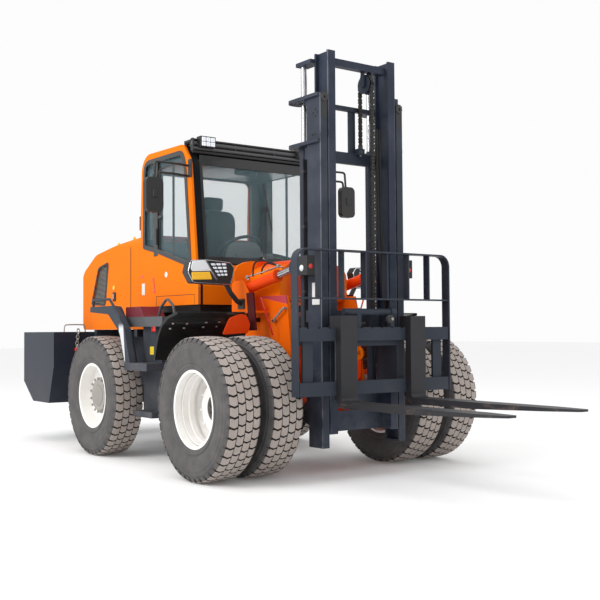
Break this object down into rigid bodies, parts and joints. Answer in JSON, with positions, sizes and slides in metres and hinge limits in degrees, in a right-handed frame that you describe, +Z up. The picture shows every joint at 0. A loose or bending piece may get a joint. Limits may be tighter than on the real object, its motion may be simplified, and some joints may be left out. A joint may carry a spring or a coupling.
{
  "type": "rough terrain forklift",
  "caption": "Articulated rough terrain forklift with a cab, twin front wheels, tilting two-stage mast, sliding forks and rear counterweight.",
  "frame": {"origin": "on the ground, at the middle of the machine's length and width", "axes": "+X forward along the forks, +Y to the machine's left, +Z up"},
  "size_m": [6.2, 2.4758, 3.2399],
  "materials": {
    "orange_paint": "gloss orange",
    "red_orange_paint": "gloss red-orange",
    "mast_paint": "satin dark blue-grey",
    "chassis_paint": "satin dark grey",
    "black_paint": "satin black",
    "cast_block": "cast",
    "rim_paint": "gloss cream",
    "tyre": "matt rubber",
    "chrome_rod": "ground chrome",
    "fork_steel": "worn dark steel",
    "chain_steel": "oiled steel",
    "pin_steel": "zinc plated",
    "window_glass": "clear tinted",
    "interior_plastic": "grained",
    "seat_fabric": "woven",
    "black_plastic": "moulded",
    "lamp_plastic": "moulded"
  },
  "bodies": {
    "rear": {"rear_frame": "chassis_paint", "rear_axle": "chassis_paint", "engine_block": "cast_block", "hood": "orange_paint", "counterweight": "chassis_paint", "tow_pin": "pin_steel", "side_tanks": "chassis_paint", "side_decks": "chassis_paint", "rear_fenders": "chassis_paint", "cab_side_right": "orange_paint", "cab_side_left": "orange_paint", "cab_front": "orange_paint", "cab_rear": "orange_paint", "cab_roof": "orange_paint", "cab_floor": "black_paint", "cab_glass": "window_glass", "console": "interior_plastic", "steering_wheel": "interior_plastic", "seat_base": "interior_plastic", "seat_cushion": "seat_fabric", "seat_back": "seat_fabric", "mirrors": "black_plastic", "work_lamps": "lamp_plastic", "air_cleaner": "black_plastic", "exhaust": "black_paint"},
    "cab_door": {"cab_door": "orange_paint", "door_glass": "window_glass"},
    "front": {"front_frame": "orange_paint", "front_axle": "red_orange_paint", "front_cover": "orange_paint", "front_fenders": "black_paint", "headlamps": "lamp_plastic"},
    "front_wheel_left": {"front_tyres_left": "tyre", "front_wheels_left": "rim_paint"},
    "front_wheel_right": {"front_tyres_right": "tyre", "front_wheels_right": "rim_paint"},
    "rear_wheel_left": {"rear_tyre_left": "tyre", "rear_wheel_left": "rim_paint"},
    "rear_wheel_right": {"rear_tyre_right": "tyre", "rear_wheel_right": "rim_paint"},
    "mast": {"outer_mast": "mast_paint", "lift_cylinders": "mast_paint", "side_lamps": "lamp_plastic"},
    "inner_mast": {"inner_mast": "mast_paint", "lift_rods": "chrome_rod", "lift_chain": "chain_steel"},
    "carriage": {"carriage": "mast_paint", "load_guard": "mast_paint"},
    "fork_left": {"fork_left": "fork_steel"},
    "fork_right": {"fork_right": "fork_steel"},
    "tilt_barrels": {"tilt_cylinders": "red_orange_paint"},
    "tilt_rods": {"tilt_rods": "chrome_rod"},
    "steer_barrel_left": {"steer_barrel_left": "red_orange_paint"},
    "steer_barrel_right": {"steer_barrel_right": "red_orange_paint"},
    "steer_rod_left": {"steer_rod_left": "chrome_rod"},
    "steer_rod_right": {"steer_rod_right": "chrome_rod"}
  },
  "joints": [
    {"name": "articulation", "type": "hinge", "parent": "rear", "child": "front", "pos_m": [-0.2, 0, 0.7], "axis": [0, 0, 1], "range_deg": [-28, 28]},
    {"name": "front_wheel_left_spin", "type": "hinge", "parent": "front", "child": "front_wheel_left", "pos_m": [0.8, 0.903, 0.54], "axis": [0, 1, 0], "continuous": true},
    {"name": "front_wheel_right_spin", "type": "hinge", "parent": "front", "child": "front_wheel_right", "pos_m": [0.8, -0.903, 0.54], "axis": [0, 1, 0], "continuous": true},
    {"name": "rear_wheel_left_spin", "type": "hinge", "parent": "rear", "child": "rear_wheel_left", "pos_m": [-1.2, 0.996, 0.54], "axis": [0, 1, 0], "continuous": true},
    {"name": "rear_wheel_right_spin", "type": "hinge", "parent": "rear", "child": "rear_wheel_right", "pos_m": [-1.2, -0.996, 0.54], "axis": [0, 1, 0], "continuous": true},
    {"name": "mast_tilt", "type": "hinge", "parent": "front", "child": "mast", "pos_m": [1.07, 0, 0.48], "axis": [0, 1, 0], "range_deg": [-10, 6]},
    {"name": "mast_lift", "type": "slide", "parent": "mast", "child": "inner_mast", "axis": [0, 0, 1], "range_m": [-0.255, 1.4], "deforming": ["lift_chain"]},
    {"name": "carriage_lift", "type": "slide", "parent": "inner_mast", "child": "carriage", "axis": [0, 0, 1], "range_m": [-0.255, 1.4]},
    {"name": "fork_left_shift", "type": "slide", "parent": "carriage", "child": "fork_left", "axis": [0, 1, 0], "range_m": [-0.07, 0.27]},
    {"name": "fork_right_shift", "type": "slide", "parent": "carriage", "child": "fork_right", "axis": [0, 1, 0], "range_m": [-0.29, 0.06]},
    {"name": "tilt_barrel_swing", "type": "hinge", "parent": "front", "child": "tilt_barrels", "pos_m": [0.3, 0, 1.45], "axis": [0, 1, 0], "range_deg": [-3, 2]},
    {"name": "tilt_rod_slide", "type": "slide", "parent": "tilt_barrels", "child": "tilt_rods", "axis": [0.9812, 0, 0.1931], "range_m": [-0.21, 0.13]},
    {"name": "steer_barrel_left_swing", "type": "hinge", "parent": "rear", "child": "steer_barrel_left", "pos_m": [-0.9, 0.25, 0.7], "axis": [0, 0, 1], "range_deg": [-6, 6]},
    {"name": "steer_barrel_right_swing", "type": "hinge", "parent": "rear", "child": "steer_barrel_right", "pos_m": [-0.9, -0.25, 0.7], "axis": [0, 0, 1], "range_deg": [-6, 6]},
    {"name": "steer_rod_left_slide", "type": "slide", "parent": "steer_barrel_left", "child": "steer_rod_left", "axis": [1, 0, 0], "range_m": [-0.14, 0.14]},
    {"name": "steer_rod_right_slide", "type": "slide", "parent": "steer_barrel_right", "child": "steer_rod_right", "axis": [1, 0, 0], "range_m": [-0.14, 0.14]},
    {"name": "cab_door_swing", "type": "hinge", "parent": "rear", "child": "cab_door", "pos_m": [-1.01, 0.674, 1.9], "axis": [0, 0, 1], "range_deg": [0, 85]}
  ],
  "couplings": [
    {"joint": "carriage_lift", "follows": "mast_lift", "ratio": 1},
    {"joint": "tilt_barrel_swing", "follows": "mast_tilt", "ratio": 0.24},
    {"joint": "tilt_rod_slide", "follows": "mast_tilt", "m_per_rad": 1.11},
    {"joint": "steer_barrel_left_swing", "follows": "articulation", "ratio": 0.13},
    {"joint": "steer_barrel_right_swing", "follows": "articulation", "ratio": 0.13},
    {"joint": "steer_rod_left_slide", "follows": "articulation", "m_per_rad": -0.245},
    {"joint": "steer_rod_right_slide", "follows": "articulation", "m_per_rad": 0.245}
  ]
}
